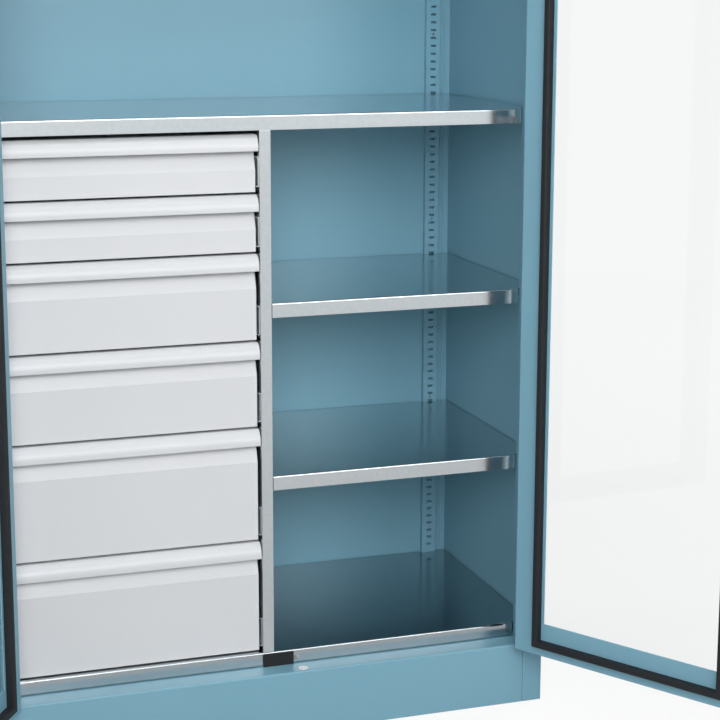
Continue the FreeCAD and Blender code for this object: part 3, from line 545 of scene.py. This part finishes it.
# Acrylic sheet is clear and polished, with faint dull streaks a hand wide where it was wiped.
acrylic, pane_tree, pane_shader, pane_place = start_material("clear_acrylic_sheet")
pane_shader.inputs["Base Color"].default_value = linear("#F6F7F7")
pane_shader.inputs["IOR"].default_value = 1.49
pane_shader.inputs["Transmission Weight"].default_value = 1.0
pane_shader.inputs["Specular Tint"].default_value = linear("#A0A0A0")
wiped = add(
    pane_tree,
    "ShaderNodeTexNoise",
    {"Vector": pane_place, "Scale": 1000 / 90, "Detail": 3.0},
)
polish = add(
    pane_tree,
    "ShaderNodeMapRange",
    {"Value": wiped.outputs["Fac"], "To Min": 0.0, "To Max": 0.03},
)
pane_tree.links.new(polish.outputs["Result"], pane_shader.inputs["Roughness"])
tape = 0.0002
eased_edge = 0.0005
merge_gap = 0.00001
flat_angle = 0.01
for side, body in ((1, "right_door"), (-1, "left_door")):
    sheet = bmesh.new()
    sheet.from_mesh(nodes[f"{body}_pane"].data)
    bmesh.ops.remove_doubles(sheet, verts=sheet.verts, dist=merge_gap)
    bmesh.ops.transform(sheet, matrix=opening_turn(side).inverted(), verts=sheet.verts)
    middle = sum(corner.co.y for corner in sheet.verts) / len(sheet.verts)
    for corner in sheet.verts:
        corner.co.y += tape if corner.co.y < middle else -tape
    bmesh.ops.dissolve_limit(sheet, angle_limit=flat_angle, verts=sheet.verts, edges=sheet.edges)
    bmesh.ops.bevel(
        sheet,
        geom=sheet.edges,
        offset=eased_edge,
        segments=2,
        profile=0.5,
        affect="EDGES",
    )
    bmesh.ops.transform(sheet, matrix=opening_turn(side), verts=sheet.verts)
    pane_mesh = bpy.data.meshes.new(f"{body}_acrylic_sheet")
    sheet.to_mesh(pane_mesh)
    sheet.free()
    pane_mesh.materials.append(acrylic)
    pane = bpy.data.objects.new(f"{body}_acrylic_sheet", pane_mesh)
    bpy.context.scene.collection.objects.link(pane)
    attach(pane, body)
    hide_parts(f"{body}_pane")


# Lock on the right door: a black glass-filled nylon plate held by two screws, a nickel-plated key
# cylinder, a zinc lever cast and coated black, a plated case and two plated rods. White nylon
# sockets in the ledge and the header take the rods.

# The filled nylon is dull and grainy, the lever's coat satin with a highlight painted on its
# edges, and the nickel bright and a little warm.
black_nylon = moulded("black_glass_filled_nylon", "#242628", "#1F2123", 0.45, 0.5, 0.8)
black_casting = powder_coat(
    "black_coated_zinc_casting",
    "#222426",
    "#1D1F21",
    "#3A3C3E",
    0.42,
    3.0,
    0.05,
)
white_nylon = moulded("white_nylon", "#F2F3F3", "#ECEEEE", 0.4, 0.5, 0.8)
nickel = zinc("polished_nickel_plating", "#D8D5CE", "#D2CFC8", 0.16, 2.0)
wear(black_nylon, "lock_plate")
wear(black_casting, "lock_lever")
wear(nickel, "key_cylinder")
wear(bright_zinc, "lock_case", "upper_rod", "lower_rod")
wear(white_nylon, "rod_sockets")
plate_screw = (3.4, 1.3)
plate_rows = (2, (0, 0, 102))
low_screw = (32, -254, 939)
plate_screws = head_rows(bright_zinc, low_screw, "front", plate_screw, plate_rows, one, True)
plate_screws.transform(opening_turn(1))
fit("lock_plate_screws", [plate_screws], bright_zinc, "right_door")


# Stage: a pale floor that is nearly white where it is seen and fades to white far off, a white
# surround that shows in metal and glass, soft lamps on stands and the camera.

half = 9
floor_mesh = bpy.data.meshes.new("floor")
floor_mesh.from_pydata(
    [(-half, -half, 0), (half, -half, 0), (half, half, 0), (-half, half, 0)],
    [],
    [(0, 1, 2, 3)],
)
floor = bpy.data.objects.new("floor", floor_mesh)
bpy.context.scene.collection.objects.link(floor)
floor_white, floor_tree, floor_shader, floor_place = start_material("pale_floor")
floor_ray = add(floor_tree, "ShaderNodeLightPath").outputs
floor_seen = add(
    floor_tree,
    "ShaderNodeMath",
    {0: floor_ray["Is Camera Ray"], 1: floor_ray["Is Transmission Ray"]},
    operation="MAXIMUM",
)
# Near the cabinet the floor is grey enough to take its shadow. From 1.5 to 5 m it pales to white.
floor_reach = add(floor_tree, "ShaderNodeVectorMath", {0: floor_place}, operation="LENGTH")
floor_fade = add(
    floor_tree,
    "ShaderNodeMapRange",
    {"Value": floor_reach.outputs["Value"], "From Min": 1.5, "From Max": 5.0},
)
floor_mirror_level = add(
    floor_tree,
    "ShaderNodeMapRange",
    {"Value": floor_fade.outputs["Result"], "To Min": 0.6, "To Max": 0.9},
)
floor_mirrored = add(
    floor_tree,
    "ShaderNodeMath",
    {0: floor_ray["Is Glossy Ray"], 1: floor_mirror_level.outputs["Result"]},
    operation="MULTIPLY",
)
floor_level = add(
    floor_tree,
    "ShaderNodeMath",
    {0: floor_seen.outputs[0], 1: floor_mirrored.outputs[0]},
    operation="MAXIMUM",
)
floor_shown = add(
    floor_tree,
    "ShaderNodeMix",
    {0: floor_fade.outputs["Result"], 6: linear("#5C5C5C"), 7: linear("#000000")},
    data_type="RGBA",
)
floor_colour = add(
    floor_tree,
    "ShaderNodeMix",
    {0: floor_level.outputs[0], 6: linear("#A8A8A8"), 7: floor_shown.outputs[2]},
    data_type="RGBA",
)
floor_white_level = add(
    floor_tree,
    "ShaderNodeMapRange",
    {"Value": floor_fade.outputs["Result"], "To Min": 0.88, "To Max": 1.0},
)
floor_glow = add(
    floor_tree,
    "ShaderNodeMath",
    {0: floor_level.outputs[0], 1: floor_white_level.outputs["Result"]},
    operation="MULTIPLY",
)
floor_tree.links.new(floor_colour.outputs[2], floor_shader.inputs["Base Color"])
floor_tree.links.new(floor_glow.outputs[0], floor_shader.inputs["Emission Strength"])
floor_shader.inputs["Emission Color"].default_value = (1, 1, 1, 1)
floor_shader.inputs["Roughness"].default_value = 0.9
floor_shader.inputs["Specular IOR Level"].default_value = 0.0
floor_mesh.materials.append(floor_white)

world = bpy.data.worlds.new("studio")
bpy.context.scene.world = world
world.use_nodes = True
sky = world.node_tree
sky_ray = add(sky, "ShaderNodeLightPath").outputs
sky_direct = add(
    sky,
    "ShaderNodeMath",
    {0: sky_ray["Is Camera Ray"], 1: sky_ray["Is Glossy Ray"]},
    operation="MAXIMUM",
)
sky_seen = add(
    sky,
    "ShaderNodeMath",
    {0: sky_direct.outputs[0], 1: sky_ray["Is Transmission Ray"]},
    operation="MAXIMUM",
)
sky_level = add(
    sky,
    "ShaderNodeMapRange",
    {"Value": sky_seen.outputs[0], "To Min": 0.04, "To Max": 1.0},
)
surround = sky.nodes["Background"]
surround.inputs["Color"].default_value = (1, 1, 1, 1)
sky.links.new(sky_level.outputs["Result"], surround.inputs["Strength"])


def lamp(name, place, size, watts):
    """A square soft box at a place, turned to the middle of the cabinet."""
    light = bpy.data.lights.new(name, "AREA")
    light.shape = "SQUARE"
    light.size = size
    light.energy = watts
    stand = bpy.data.objects.new(name, light)
    bpy.context.scene.collection.objects.link(stand)
    stand.location = place
    aim = Vector((0, 0, 0.9)) - Vector(place)
    stand.rotation_euler = aim.to_track_quat("-Z", "Y").to_euler()


lamp("key_light", (-0.6, -4.4, 2.9), 2.6, 76)
lamp("front_light", (-1.2, -4.0, 1.3), 1.8, 18)
lamp("middle_light", (-0.7, -3.4, 2.0), 1.2, 26)
lamp("left_light", (-3.6, -2.6, 1.8), 2.0, 28)
lamp("right_light", (1.5, -4.2, 2.1), 1.4, 34)
lamp("top_light", (0.0, -1.4, 3.7), 1.6, 18)
lamp("left_back_light", (-4.4, 2.2, 2.4), 2.0, 165)
lamp("right_back_light", (4.4, 2.2, 2.4), 2.0, 165)

camera_data = bpy.data.cameras.new("camera")
camera_data.sensor_width = 36.0
camera_data.lens = 88.321
camera_data.shift_x = 0.03
camera_data.shift_y = -0.08
camera = bpy.data.objects.new("camera", camera_data)
bpy.context.scene.collection.objects.link(camera)
camera.location = (-0.7957, -3.0065, 1.2839)
camera_pitch, camera_yaw = 10.365, -18.259
camera.rotation_euler = (math.radians(90 - camera_pitch), 0, math.radians(camera_yaw))
bpy.context.scene.camera = camera
bpy.context.scene.view_settings.view_transform = "Standard"
